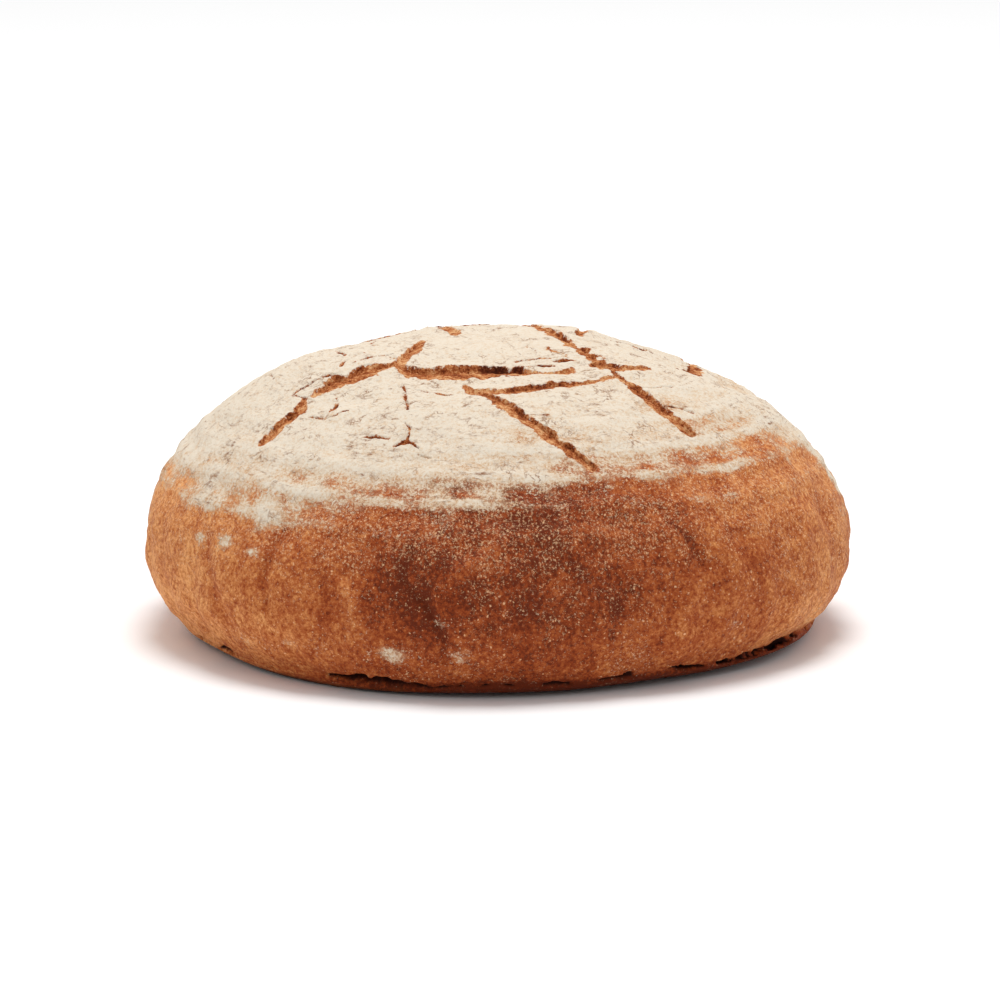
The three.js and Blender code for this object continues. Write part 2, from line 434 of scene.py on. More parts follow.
def overSide(points, tuckedIn=11, tuckCurve=2.4):
    # The same over the side, which is tucked in by so many mm from belly to sole
    line = smoothLine(points, step=0.4)
    angle = np.radians(line[:, 0])
    height = line[:, 1]
    reach = loafWidth / 2 * np.sqrt(1 - shareOfDome(height) ** 2)
    below = np.clip((bellyHeight - height) / bellyHeight, 0, 1)
    reach = (reach - tuckedIn * below ** tuckCurve) * outline(angle)
    return np.stack([reach * np.cos(angle), reach * np.sin(angle), height], 1), line[:, 2] / 2


def nearLine(points, line, reach):
    # The points within reach of a line: which they are, how far off, the nearest step and the side
    place = line[0]
    low = place.min(0) - reach
    high = place.max(0) + reach
    near = np.flatnonzero(np.all((points > low) & (points < high), axis=1))
    if not len(near):
        return near, np.zeros(0), near, np.zeros(0)
    away = np.linalg.norm(points[near, None] - place[None], axis=2)
    step = away.argmin(1)
    distance = away[np.arange(len(near)), step]
    keep = distance < reach
    near, step, distance = near[keep], step[keep], distance[keep]
    onward = np.gradient(place, axis=0)[step]
    offset = points[near] - place[step]
    side = np.sign(onward[:, 0] * offset[:, 1] - onward[:, 1] * offset[:, 0])
    return near, distance, step, side


scoreLines = {name: overCrown(score["points"]) for name, score in scores.items()}
crackLines = [overCrown(points) for points in cracks]
foldLines = [overSide(points) for lift, points in folds]

gridForm = {
    "cuts": 92,  # in each edge of the cube, for faces about 2 mm across
    # mm on both sides of a score's edge, a crack and the seam where each round cuts the faces in four
    "fineBands": [(3.0, 3.0, 4.5), (1.4, 1.6, 0)],
    "scoreInside": 1.5,  # mm more inside a score
    "lineReach": 12,  # mm
    "seamFrom": 96,  # mm from the middle
}


def loafGrid(form):
    # A cube of even squares, with its edges cut again near the scores, cracks and seam
    cube = bmesh.new()
    bmesh.ops.create_cube(cube, size=2)
    bmesh.ops.subdivide_edges(cube, edges=cube.edges[:], cuts=form["cuts"], use_grid_fill=True)
    for scoreBand, crackBand, seamBand in form["fineBands"]:
        cube.verts.ensure_lookup_table()
        points = pressToLoaf(np.array([v.co for v in cube.verts]))
        fine = np.zeros(len(points), bool)
        for line in scoreLines.values():
            near, distance, step, _ = nearLine(points, line, form["lineReach"])
            gap = distance - line[1][step]
            fine[near[(gap < scoreBand) & (gap > -scoreBand - form["scoreInside"])]] = True
        for line in crackLines:
            fine[nearLine(points, line, crackBand)[0]] = True
        if seamBand:
            seamGap = points[:, 2] - seamHeightAt(np.arctan2(points[:, 1], points[:, 0]))
            atSide = np.hypot(points[:, 0], points[:, 1]) > form["seamFrom"]
            fine[atSide & (np.abs(seamGap) < seamBand)] = True
        edges = [e for e in cube.edges if fine[e.verts[0].index] and fine[e.verts[1].index]]
        bmesh.ops.subdivide_edges(cube, edges=edges, cuts=1, use_grid_fill=True)
        cube.verts.index_update()
    bmesh.ops.triangulate(cube, faces=[f for f in cube.faces if len(f.verts) > 4])
    cube.verts.ensure_lookup_table()
    return cube


loafMesh = loafGrid(gridForm)
base = pressToLoaf(np.array([v.co for v in loafMesh.verts]))
triangles = sum(len(f.verts) - 2 for f in loafMesh.faces)
print("loaf grid:", len(loafMesh.verts), "points,", triangles, "triangles")

# The loaf's points before any relief, and where each lies, in mm
x, y, z = base.T
angle = np.arctan2(y, x)
radius = np.hypot(x, y)
sole = (z < 3.0) & (radius < 104)
aboveSeam = z - seamHeightAt(angle)
upperShare = smoothStep(1.0, 6.0, aboveSeam)  # fades what belongs to the side out at the seam


def grain(size, octaves, seed, points=base):
    # Smooth noise over the surface, about -1 to 1, whose largest lumps are "size" mm across
    shift = Vector((3.7, 9.2, 5.1)) * seed
    return np.array([noise.fractal(Vector(p) / size + shift, 1.0, 2.0, octaves) for p in points])


# Here and below, a grain is size in mm, octaves and seed
crustRelief = {
    "lumps": (1.5, (46, 3, 1)),  # rise in mm, and grain
    "knuckles": (0.85, (15, 3, 2)),
    "wrinkles": (0.4, (5, 3, 3)),
    "tuckRise": 1.35,  # mm, the soft upright folds of the lower side
    "tuckGrain": (13, 2, 5),
    "tuckStretch": 0.3,  # how little they change from top to bottom
    "tuckHeights": (74, 50),  # mm, from none to full
    "blisterRise": 1.2,
    "blisterSize": 4.2,
    "blisterShare": 0.42,  # of the way between two blisters' middles
    "blisterPatch": (24, 2, 9),
    "blisterFrom": 9,  # mm high
    "ringRise": 0.38,  # mm, the basket's canes
    "ringMiddle": (66, 15),  # mm, the height where they show and its spread
    "ringPitch": math.radians(8.1),  # 12 mm over the crust
    "ringStart": math.radians(22.3),
    "ringDip": 0.05,  # the rings slope down a little on the right
    "ringWander": 0.1,  # of the pitch
    "ringWobble": (30, 2, 7),
    "foldReach": 16,
    "foldPress": 1.3,  # mm for a lift of 1
    "foldMark": 0.8,  # of the painted shade in a dent and the painted highlight on a fold, for a lift of 1
}


def surfaceRelief():
    rise = np.zeros(len(base))
    for name in ("lumps", "knuckles", "wrinkles"):
        height, lump = crustRelief[name]
        rise += height * grain(*lump)
    round3d = [np.cos(angle) * loafWidth / 2, np.sin(angle) * loafWidth / 2, z * crustRelief["tuckStretch"]]
    tucks = grain(*crustRelief["tuckGrain"], np.stack(round3d, 1))
    rise += crustRelief["tuckRise"] * tucks * smoothStep(*crustRelief["tuckHeights"], z) * upperShare
    return rise


def ringWave():
    # 1 along each ring that the basket's canes left and -1 between them, and the way down from the belly
    drop = crustRelief["ringDip"] * (x + np.hypot(x, 30)) / 2
    rise = np.arcsin(shareOfDome(z + drop))
    wobble = crustRelief["ringWander"] * grain(*crustRelief["ringWobble"])
    turns = (rise - crustRelief["ringStart"]) / crustRelief["ringPitch"] + wobble
    return np.cos(2 * math.pi * turns), rise * loafWidth / 2 * mm


def blisters():
    # Small domes where gas lifted the skin, in patches
    rise = np.zeros(len(base))
    patch = grain(*crustRelief["blisterPatch"])
    for i in np.flatnonzero((z > crustRelief["blisterFrom"]) & (patch > -0.25)):
        spread = noise.voronoi(Vector(base[i]) / crustRelief["blisterSize"])[0][0]
        rise[i] = max(0.0, crustRelief["blisterShare"] - spread) * (patch[i] + 0.3)
    return rise * crustRelief["blisterRise"]


scoreCut = {
    "usual": {
        "depth": 1.5,  # mm
        "ear": 1,
        "broken": 0.32,  # how much the width changes along the cut
        "burntAndShaded": 0.26,  # scorch and painted shade under the ear
        "shadedAndScorched": (0, 1, 0),  # x, reach in mm and how much darker the scorch and painted shade are there
    },
    "reach": 13,  # mm
    "opened": (0.86, 0.15),  # share of the stated width, and mm
    "ragged": (6, 3, 11),
    "raggedShare": 0.6,
    "flakes": (3.5, 2, 12),
    "floorShare": 0.16,  # of the depth, on the side away from the ear
    "fullHalf": 2.6,  # mm, narrower cuts are shallower and less darkened by scorch and painted shade
    "wall": (1.06, 0.82),  # of half the width, from the crust down to the floor
    "earRise": (0.7, 0.25),  # mm on the ear's side and on the other
    "earReach": 2.4,
    "tornFade": (0.35, 3.0),  # mm out from the cut, and over how many the mask fades
    "crumb": [(1.5, (3.2, 3, 13)), (0.9, (1.4, 2, 14))],  # share and grain
    "crumbRise": 0.36,
}

crackCut = {
    "reach": 3,  # mm
    "opened": 0.85,
    "leastHalf": 0.25,
    "raggedShare": 1.1,
    "broken": 0.7,
    "depth": 0.8,
    "tornFade": 2.0,
    # painted shade down each crack's middle
    "burntAndShaded": 0.45,
    "lip": (0.3, 1.8),  # rise and reach in mm
}


def raiseTo(mask, near, values):
    mask[near] = np.maximum(mask[near], values)


def cutScores():
    depth, lip, torn, shade = np.zeros((4, len(base)))
    ragged = grain(*scoreCut["ragged"])
    flakes = grain(*scoreCut["flakes"])
    for name, stated in scores.items():
        score = {**scoreCut["usual"], **stated}
        near, distance, step, side = nearLine(base, scoreLines[name], scoreCut["reach"])
        uneven = 1 + scoreCut["raggedShare"] * ragged[near] + score["broken"] * flakes[near]
        half = scoreCut["opened"][0] * scoreLines[name][1][step] * uneven + scoreCut["opened"][1]
        across = distance / half
        earSide = side * score["ear"]  # 1 on the side that lifts
        lean = np.clip(across * earSide, -1, 1)
        sizeShare = np.clip(half / scoreCut["fullHalf"], 0.25, 1)
        slope = scoreCut["floorShare"] + (1 - scoreCut["floorShare"]) * ((lean + 1) / 2) ** 2
        raiseTo(depth, near, score["depth"] * slope * sizeShare * smoothStep(*scoreCut["wall"], across))
        outside = np.clip(distance - half, 0, None)
        earRise = np.where(earSide > 0, *scoreCut["earRise"]) * bump(outside, 0, scoreCut["earReach"])
        raiseTo(lip, near, earRise * sizeShare * (across > 0.9))
        out, fade = scoreCut["tornFade"]
        raiseTo(torn, near, np.clip(0.5 + (half + out - distance) / fade, 0, 1))
        # Darker towards the ear's side and under it: painted shade, with some scorch
        shadeScorchX, shadeScorchReach, shadeAndScorch = score["shadedAndScorched"]
        burntAndShaded = score["burntAndShaded"] + shadeAndScorch * bump(base[near, 0], shadeScorchX, shadeScorchReach)
        dark = smoothStep(-0.6, 1.0, lean) * smoothStep(1.3, 1.0, across)
        raiseTo(shade, near, dark * sizeShare * burntAndShaded)
    for line in crackLines:
        near, distance, step, _ = nearLine(base, line, crackCut["reach"])
        uneven = 1 + crackCut["raggedShare"] * ragged[near] + crackCut["broken"] * flakes[near]
        half = crackCut["opened"] * line[1][step] * uneven
        across = distance / np.maximum(half, crackCut["leastHalf"])
        raiseTo(depth, near, crackCut["depth"] * smoothStep(1.3, 0.3, across))
        raiseTo(torn, near, np.clip(0.5 + (half - distance) / crackCut["tornFade"], 0, 1))
        raiseTo(shade, near, crackCut["burntAndShaded"] * smoothStep(1.6, 0.2, across))
        raiseTo(lip, near, crackCut["lip"][0] * bump(distance, 0, crackCut["lip"][1]))
    crumb = sum(share * grain(*hole) for share, hole in scoreCut["crumb"])
    rise = lip - depth + scoreCut["crumbRise"] * crumb * np.clip(depth, 0, 1)
    return rise, torn, shade


def pressFolds():
    # The folds' relief, and masks for painted shade in the dents and painted highlights on the folds
    rise, shade, shine = np.zeros((3, len(base)))
    for (lift, _), line in zip(folds, foldLines):
        near, distance, step, _ = nearLine(base, line, crustRelief["foldReach"])
        form = np.exp(-(distance / line[1][step]) ** 2)
        rise[near] += crustRelief["foldPress"] * lift * form
        strength = min(1.0, crustRelief["foldMark"] * abs(lift))
        raiseTo(shade if lift < 0 else shine, near, strength * form)
    return rise, shade, shine


seamTear = {
    # where the side crust tore from the bottom crust as the loaf rose
    "stretches": [(-109, 9, 1.7), (-80, 18, 0.1), (-58, 14, 0.6), (-32, 16, 0.8), (90, 24, 0.7),
                  (150, 15, 0.5), (-146, 13, 0.9)],
    "ragged": (8, 3, 21),
    "closed": 0.25,
    "widest": 1.4,
    "half": (0.35, 1.2),  # mm, least and how much more where it is wide
    "wander": [(1.4, (9, 3, 22)), (0.9, (3, 2, 23))],  # mm up and down, and grain
    "from": 97,  # mm from the middle
    "depth": (0.6, 3.6),
    # how dark the gap's painted shade is, deeper where the gap is wider
    "dark": 0.4,
}


def openSeam():
    # The seam's depth, and a mask for the painted shade inside its gap
    stretch = bumpsRound(angle, seamTear["stretches"])
    wide = np.clip(stretch + grain(*seamTear["ragged"]) - seamTear["closed"], 0, seamTear["widest"])
    wander = sum(height * grain(*wave) for height, wave in seamTear["wander"])
    across = np.abs(aboveSeam - wander) / (seamTear["half"][0] + seamTear["half"][1] * wide)
    gap = smoothStep(1.2, 0.5, across) * (radius > seamTear["from"]) * smoothStep(0.02, 0.3, wide)
    depth = gap * (seamTear["depth"][0] + seamTear["depth"][1] * wide)
    return depth, gap * np.clip(seamTear["dark"] + wide, 0, 1)


relief = surfaceRelief()
rings, down = ringWave()
scoreRise, torn, scoreShade = cutScores()
foldRise, foldShade, foldShine = pressFolds()
seamDepth, gap = openSeam()
print("relief, scores, folds and seam worked out")

flourLay = {
    "edge": 68.5,  # mm, the height where the flour thins out
    "edgeTilt": 5.5,  # mm, lower on the left, higher on the right
    "edgeShifts": [(-52, 32, 2.0), (-80, 19, 5.0), (-1, 9, -15), (178, 10, -10), (-108, 10, -2.5)],  # mm
    "fade": (-16, 13),  # mm under and over the edge
    "soft": (8, (26, 3, 31)),  # mm up and down of the edge, and grain
    "flecks": (5, (8, 3, 32)),
    "full": 1.12,  # more than 1 leaves no crust between the flour's grains
    "wornShare": 0.3,
    "wornWithin": 14,  # mm over the edge
    "wornAcross": (50, -20),  # x in mm, from none to full
    "wornGrain": (14, 4, 34),
    "ringShare": (0.48, 0.12),  # all round, and more on the right
    "ringAbout": (1, 17),  # mm over the edge, and spread
    "ringGrain": (11, 3, 33),
    "patchShare": 0.8,
    "patchShape": (0.7, 1.3),  # wider than tall
    "thickness": 0.22,  # mm
    "thickGrain": (2.6, 2, 61),
    "rimHighlights": [(-1, 9, 0.6), (178, 9, 0.45)],  # a painted highlight, drawn as flour, low on both ends
    "rimHighlightHeight": (50, 17),  # mm, and spread
    # angle, height, size in mm and strength of stray patches
    "patches": [
        (-163, 66, 7, 0.9), (-148, 56, 5, 0.9), (-133, 56, 6, 0.9), (-146, 45, 3, 0.8),
        (-140, 46, 3.4, 0.8), (-133, 44.6, 2, 0.8), (-98, 28, 2.4, 1.1), (-96, 17, 3.2, 1.4),
        (-107, 15.6, 4.5, 0.7), (-133, 15, 4.5, 0.55), (-125, 17, 3, 0.4), (-48, 20, 3, 0.3),
        (25, 52, 5, 0.7), (60, 40, 4, 0.6), (95, 50, 6, 0.8), (118, 22, 4, 0.7), (150, 47, 5, 0.8),
        (170, 30, 3, 0.6),
    ],
}
flourEdge = flourLay["edge"] + flourLay["edgeTilt"] * np.cos(angle)


def flourCover():
    over = z - (flourEdge + bumpsRound(angle, flourLay["edgeShifts"]))
    softRise, softGrain = flourLay["soft"]
    fleckRise, fleckGrain = flourLay["flecks"]
    fleck = grain(*fleckGrain)
    cover = smoothStep(*flourLay["fade"], over + softRise * grain(*softGrain) + fleckRise * fleck)
    # worn thin near the edge, in patches on the left and in front
    worn = smoothStep(0.0, 0.5, grain(*flourLay["wornGrain"])) * smoothStep(*flourLay["wornAcross"], x)
    cover *= flourLay["full"] - flourLay["wornShare"] * worn * smoothStep(flourLay["wornWithin"], 0, over)
    # more flour along the rings and less between them, about the edge
    ringBreak = np.clip(0.7 + 1.2 * grain(*flourLay["ringGrain"]), 0, 1.3)
    ringLine = smoothStep(0.1, 0.95, rings) - 0.42
    ringShare = flourLay["ringShare"][0] + flourLay["ringShare"][1] * np.cos(angle)
    cover += ringShare * ringLine * bump(over, *flourLay["ringAbout"]) * ringBreak
    broken = np.clip(0.8 + 1.4 * fleck, 0.3, 1.3)
    for patchAngle, height, size, strength in flourLay["patches"]:
        along = np.radians(turnAway(angle, patchAngle)) * radius * flourLay["patchShape"][0]
        away = np.hypot(along, (z - height) * flourLay["patchShape"][1])
        cover += flourLay["patchShare"] * strength * bump(away, 0, size) * broken
    # A painted highlight along the left and right edges, mixed into the flour's cover
    rimHighlights = bumpsRound(angle, flourLay["rimHighlights"]) * bump(z, *flourLay["rimHighlightHeight"])
    cover += rimHighlights * np.clip(0.7 + 1.5 * fleck, 0.2, 1.2)
    # Thinner in the dents, under their painted shade
    return np.clip(cover, 0, flourLay["full"]) * (1 - 0.5 * foldShade) * upperShare


# How brown each part is painted, from 0 golden to 1 nearly burnt, with painted light and shade mixed in. The
# front is browner, partly where it faced the fire and partly as painted shade, and the foot where it lay on
# the hearth. Heights are in mm, from none to full.
bakingAndPaintedLight = {
    "even": 0.32,
    # the left and right edges lighter, partly as painted light
    "sides": [(-40, 20, 0.04), (-15, 16, -0.07), (-168, 24, -0.18)],
    # the front browner, partly as painted shade
    "front": [(-86, 31, 0.56)],
    "frontHeights": (96, 62),
    "frontLow": (0.45, 12, 36),  # the share of it that is left under 12 mm
    # painted shade in the dent in front
    "frontDentShade": [(-103, 8, 0.25)],
    "frontDentShadeAbout": (37, 15),  # mm, height and spread
    "back": [(95, 40, 0.4)],
    "backHeights": (8, 20),
    # painted shade on the lower front, under the belly
    "low": [(-98, 48, 0.13)],
    "lowShadeHeights": (24, 9),
    "foot": 0.08,
    "footBumps": [(-34, 28, 0.6), (-80, 25, 0.15)],
    "footHeights": (2.0, -1.5),  # above the seam
    # painted shade under the front, below the seam
    "shadeUnderFront": [(-85, 26, 0.4)],
    "shadeUnderHeights": (3.5, -2.5),
    "mottle": [(0.12, (30, 3, 41)), (0.1, (9, 3, 42))],  # share and grain
    # painted shade in the dents and painted highlights on the folds
    "dents": 0.27,
    "folds": -0.2,
    "most": 1.1,
}


def browningAndPaintedLight():
    left, low, high = bakingAndPaintedLight["frontLow"]
    front = bumpsRound(angle, bakingAndPaintedLight["front"]) * smoothStep(*bakingAndPaintedLight["frontHeights"], z)
    front *= left + (1 - left) * smoothStep(low, high, z)
    frontDentShade = bumpsRound(angle, bakingAndPaintedLight["frontDentShade"]) * bump(z, *bakingAndPaintedLight["frontDentShadeAbout"])
    back = bumpsRound(angle, bakingAndPaintedLight["back"]) * smoothStep(*bakingAndPaintedLight["backHeights"], z)
    # painted shade on the lower front
    lower = bumpsRound(angle, bakingAndPaintedLight["low"]) * smoothStep(*bakingAndPaintedLight["lowShadeHeights"], z)
    foot = bakingAndPaintedLight["foot"] + bumpsRound(angle, bakingAndPaintedLight["footBumps"])
    foot *= smoothStep(*bakingAndPaintedLight["footHeights"], aboveSeam)
    shadeUnderFront = bumpsRound(angle, bakingAndPaintedLight["shadeUnderFront"]) * smoothStep(*bakingAndPaintedLight["shadeUnderHeights"], aboveSeam)
    mottle = sum(share * grain(*patch) for share, patch in bakingAndPaintedLight["mottle"])
    baked = bakingAndPaintedLight["even"] + bumpsRound(angle, bakingAndPaintedLight["sides"]) + front + frontDentShade + back + lower
    baked += foot + shadeUnderFront + mottle + bakingAndPaintedLight["dents"] * foldShade + bakingAndPaintedLight["folds"] * foldShine
    return np.clip(baked, 0, bakingAndPaintedLight["most"])


# Single grains of flour that fell on the bare crust. Each "about" is a height and a spread in mm.
siftedFlour = {
    "even": 0.48,
    "front": [(-80, 45, 0.2)],
    "frontAbout": (42, 18),
    "right": [(-16, 20, 0.35)],
    "rightAbout": (18, 16),
    "bare": [(-104, 8, -0.25)],  # fewer grains in the dent in front, so that its painted shade stays dark
    "bareAbout": (38, 14),
    "underFlour": (0.55, 10, 13),  # share, mm under the flour's edge, and spread
    "patches": (0.3, (16, 2, 51)),  # share and grain
    "seamFade": (-1.0, 2.5),  # mm above the seam
    "most": 1.2,
}


def siftedDust():
    share, patch = siftedFlour["patches"]
    underShare, under, spread = siftedFlour["underFlour"]
    front = bumpsRound(angle, siftedFlour["front"]) * bump(z, *siftedFlour["frontAbout"])
    dust = siftedFlour["even"] + front
    dust += underShare * bump(z, flourEdge - under, spread) + share * grain(*patch)
    dust += bumpsRound(angle, siftedFlour["right"]) * (0.6 + 0.6 * bump(z, *siftedFlour["rightAbout"]))
    dust *= smoothStep(*siftedFlour["seamFade"], aboveSeam)
    dust += bumpsRound(angle, siftedFlour["bare"]) * bump(z, *siftedFlour["bareAbout"])
    return np.clip(dust, 0, siftedFlour["most"])


cover = flourCover()
hearthMarks = {"rise": 0.25, "level": 0.6, "grain": (3, 3, 71)}  # mm, the rough sole


def raisedSurface():
    ringHeight, ringSpread = crustRelief["ringMiddle"]
    canes = crustRelief["ringRise"] * rings * bump(z, ringHeight, ringSpread)
    rise = (relief + canes + foldRise + blisters() * (1 - torn)) * upperShare + scoreRise - seamDepth
    rise += flourLay["thickness"] * cover * (1 - torn) * (1 + grain(*flourLay["thickGrain"]))
    hearth = hearthMarks["rise"] * (grain(*hearthMarks["grain"]) + hearthMarks["level"])
    return np.where(sole, 0, rise), np.clip(hearth, 0, None)


masks = {
    "down": down,  # metres down the dome, for streaks that run with the rings
    # flour's cover, with a painted highlight along the left and right edges
    "cover": cover,
    # browning, with painted light and shade mixed in
    "brown": browningAndPaintedLight(),
    "dust": siftedDust(),
    "torn": torn,
    # painted shade under the scores' ears and in the cracks, with some scorch
    "shade": scoreShade,
    # painted shade inside the seam's gap
    "gap": gap,
    "hearthSide": smoothStep(2.2, 0.6, z),
}
print("browning and flour worked out")


def finishLoaf(mesh):
    for vert, place in zip(mesh.verts, base):
        vert.co = place
    mesh.normal_update()
    out = np.array([v.normal for v in mesh.verts])
    rise, hearth = raisedSurface()
    place = base + out * rise[:, None]
    place[:, 2] = np.where(sole, hearth + base[:, 2], place[:, 2])
    place[:, 2] = np.clip(place[:, 2], 0, None)
    crown = np.percentile(place[:, 2], 99.9)  # the few points above it are pressed back down to it
    place[:, 2] = np.minimum(place[:, 2], crown)
    low = place.min(0)
    high = place.max(0)
    size = np.array([loafWidth, loafDepth, loafHeight])
    corner = np.array(loafLow) / mm
    place = (place - low) / (high - low) * size + corner
    for vert, point in zip(mesh.verts, place):
        vert.co = point * mm
    bmesh.ops.recalc_face_normals(mesh, faces=mesh.faces[:])
    for face in mesh.faces:
        face.smooth = True
    data = bpy.data.meshes.new("sourdoughLoaf")
    mesh.to_mesh(data)
    mesh.free()
    for name, values in masks.items():
        data.attributes.new(name, "FLOAT", "POINT").data.foreach_set("value", values.astype(np.float32))
    piece = bpy.data.objects.new("sourdoughLoaf", data)
    bpy.context.scene.collection.objects.link(piece)
    return piece


loaf = finishLoaf(loafMesh)
print("loaf mesh finished")

# Patterns are size in mm, contrast, detail and roughness, and ranges a Map Range's own sockets
finish = {
    "browns": [(0.0, "#e4a266"), (0.25, "#c97f48"), (0.5, "#ab592c"), (0.75, "#8e3d19"), (1.0, "#64260f")],
    "mottle": (6.0, 0.17, 4, 0.65),
    "specks": (1.5, 0.38, 4, 0.8),
    "darkSpecks": (1.7, 1.0, 2, 0.6),
    "darkSpeckRange": {"From Min": 0.3, "From Max": 0.65, "To Max": 0.17},
    "wrinkles": (5.0, 1.0, 4, 0.65),
    # painted shade in the skin's fine creases
    "creaseShadeRange": {"From Max": 0.22, "To Min": 0.07, "To Max": 0.0},

    "crustGrain": "#eec193",
    "grainSize": 1.05,  # mm, single grains of flour drawn about twice their size, so that they show
    "grainShare": 0.26,  # of the places where a grain could lie
    "grainRadius": (0.1, 0.26),  # of a place, least and how much more
    "grainSway": (0.8, 2, 1.2),  # size in mm, detail, and mm that it moves a grain's outline
    "grainRange": {"From Min": -0.08, "From Max": 0.14, "To Max": 0.78},
    "dustPatches": (9, 0.25, 3, 0.6),
    "dustClumps": (3.5, 0.3, 3, 0.6),
    "powder": (0.85, 1.0, 3, 0.85),
    "powderEdgeRange": {"To Min": 0.8, "To Max": 0.1},
    "powderRange": {"From Max": 0.45, "To Max": 0.7},

    "flour": "#e0d4c2",
    "flourThin": "#d2b492",
    "flourVeil": "#c59c78",
    "veilRange": {"From Min": 0.2, "From Max": 0.75, "To Max": 0.8},
    "flourGrains": (1.05, 0.62, 3, 0.85),
    "flourFlecks": (3.2, 0.22, 4, 0.7),
    "flourRange": {"From Min": 0.26, "From Max": 0.68, "To Max": 0.98},
    "flourTones": (1.3, 0.5, 3, 0.8),
    "flourToneRange": {"From Min": 0.34, "From Max": 1.16},

    "flourPit": "#85583a",
    "streakRound": 0.03,  # metres, the smaller the longer the streaks run round the loaf
    "streaks": (1.7, 0.75, 4, 0.75),
    "pitPatches": (12, 0.45, 3, 0.6),
    "pits": (2.0, 0.4, 4, 0.75),
    "pitRange": {"From Min": 0.16, "From Max": 1.0, "To Max": 0.95},
    "crackleSize": 6.0,  # mm
    "crackleSway": (2.5, 4, 8),
    "crackleRange": {"From Max": 0.08, "To Min": 1.0, "To Max": 0.0},
    "cracklePatches": (8, 1.0, 3, 0.6),
    "cracklePatchRange": {"From Min": 0.05, "From Max": 0.6, "To Max": 0.9},

    "crumb": [(0.05, "#662b13"), (0.35, "#954e28"), (0.6, "#b87243"), (1.0, "#dcad7c")],
    "crumbLight": (0.6, -0.75),  # the crumb's tone, and how much darker it is painted under the ear, as shade
    "crumbHoles": (1.2, 0.7, 4, 0.8),
    "crumbShades": (6.0, 0.45, 3, 0.6),
    "tornChips": (2.0, 0.26, 4, 0.8),
    "tornRange": {"From Min": 0.44, "From Max": 0.58},
    # Nearly black: scorch and painted shade under the ears and in the cracks, and painted shade in the
    # seam's gap
    "shadeAndScorch": "#35120a",
    "shadeScorchChips": (2.0, 0.22, 3, 0.7),
    "shadeScorchRange": {"From Min": 0.38, "From Max": 0.9, "To Max": 0.85},

    "sole": [(0.3, "#4a2010"), (0.7, "#8a5430")],
    "soleTone": 0.4,
    "soleBlotches": (16, 0.3, 3, 0.6),
    "soleGrains": (3, 0.2, 3, 0.6),
    "seamChips": (2.0, 0.15, 3, 0.7),
    "seamRange": {"From Min": 0.2, "From Max": 0.6},

    "roughnessRange": {"To Min": 0.66, "To Max": 0.95},  # of the crust and of the flour
    "index": 1.45,  # of refraction
    "gloss": 0.12,
    "bumpSpecks": (1.5, 0.5, 3, 0.6),
    "bumpGrains": (1.05, 0.3, 3, 0.6),
    "bumpWrinkle": 0.2,
    "bumpStrength": 0.6,
    "bumpHeight": 0.35 * mm,
}


# Wheat and rye crust baked on a hearth: matt, browned by sugar and heat, with flour baked onto it, and with
# painted light and shade in its colour
bakedCrust = bpy.data.materials.new("flouredBakedCrust")
bakedCrust.use_nodes = True
tree = bakedCrust.node_tree
tree.nodes.clear()
spot = addNode(tree, "TexCoord").outputs["Object"]
mask = {name: addNode(tree, "Attribute", attribute_name=name).outputs["Fac"] for name in masks}


def windRound():
    # Places measured round and down the loaf, so that streaks run with the basket's rings
    flat = addNode(tree, "VectorMath", {0: spot, 1: (1, 1, 0)}, operation="MULTIPLY")
    way = addNode(tree, "VectorMath", {0: flat}, operation="NORMALIZE")
    depth = addNode(tree, "CombineXYZ", {"Z": mask["down"]})
    reach = (finish["streakRound"],) * 3
    return addNode(tree, "VectorMath", {0: way, 1: reach, 2: depth}, operation="MULTIPLY_ADD")


def lumps(pattern, under=None, place=spot):
    # The pattern's noise, stretched to about -1 to 1 at a contrast of 1, on top of what is under it
    size, contrast, detail, roughness = finish[pattern]
    wave = addNode(tree, "TexNoise", {
        "Vector": place, "Scale": 1 / (size * mm), "Detail": detail, "Roughness": roughness,
    })
    spread = addNode(tree, "Math", {0: wave, 1: 4 * contrast, 2: -2 * contrast}, operation="MULTIPLY_ADD")
    if under is None:
        return spread
    return addNode(tree, "Math", {0: under, 1: spread}, operation="ADD")


def swayed(sway):
    # Places moved about by fine noise, so that a cell's outline isn't a plain polygon
    size, detail, reach = finish[sway]
    wave = addNode(tree, "TexNoise", {"Vector": spot, "Scale": 1 / (size * mm), "Detail": detail})
    return addNode(tree, "VectorMath", {
        0: wave.outputs["Color"], 1: (reach * mm,) * 3, 2: spot,
    }, operation="MULTIPLY_ADD")


wound = windRound()
ridges = addNode(tree, "Math", {0: lumps("wrinkles")}, operation="ABSOLUTE")


def brownedSkinWithPaintedLight():
    # The broad browning with its painted light and shade, broken up by mottling and specks, and painted
    # shade in the skin's fine wrinkles
    brownedWithPaintedLight = lumps("specks", lumps("mottle", mask["brown"]))
    creaseShade = addNode(tree, "MapRange", {"Value": ridges, **finish["creaseShadeRange"]})
    darkSpeck = addNode(tree, "MapRange", {"Value": lumps("darkSpecks"), **finish["darkSpeckRange"]})
    for darker in (creaseShade, darkSpeck):
        brownedWithPaintedLight = addNode(tree, "Math", {0: brownedWithPaintedLight, 1: darker}, operation="ADD")
    return addNode(tree, "ValToRGB", {"Fac": brownedWithPaintedLight}, stops=finish["browns"])


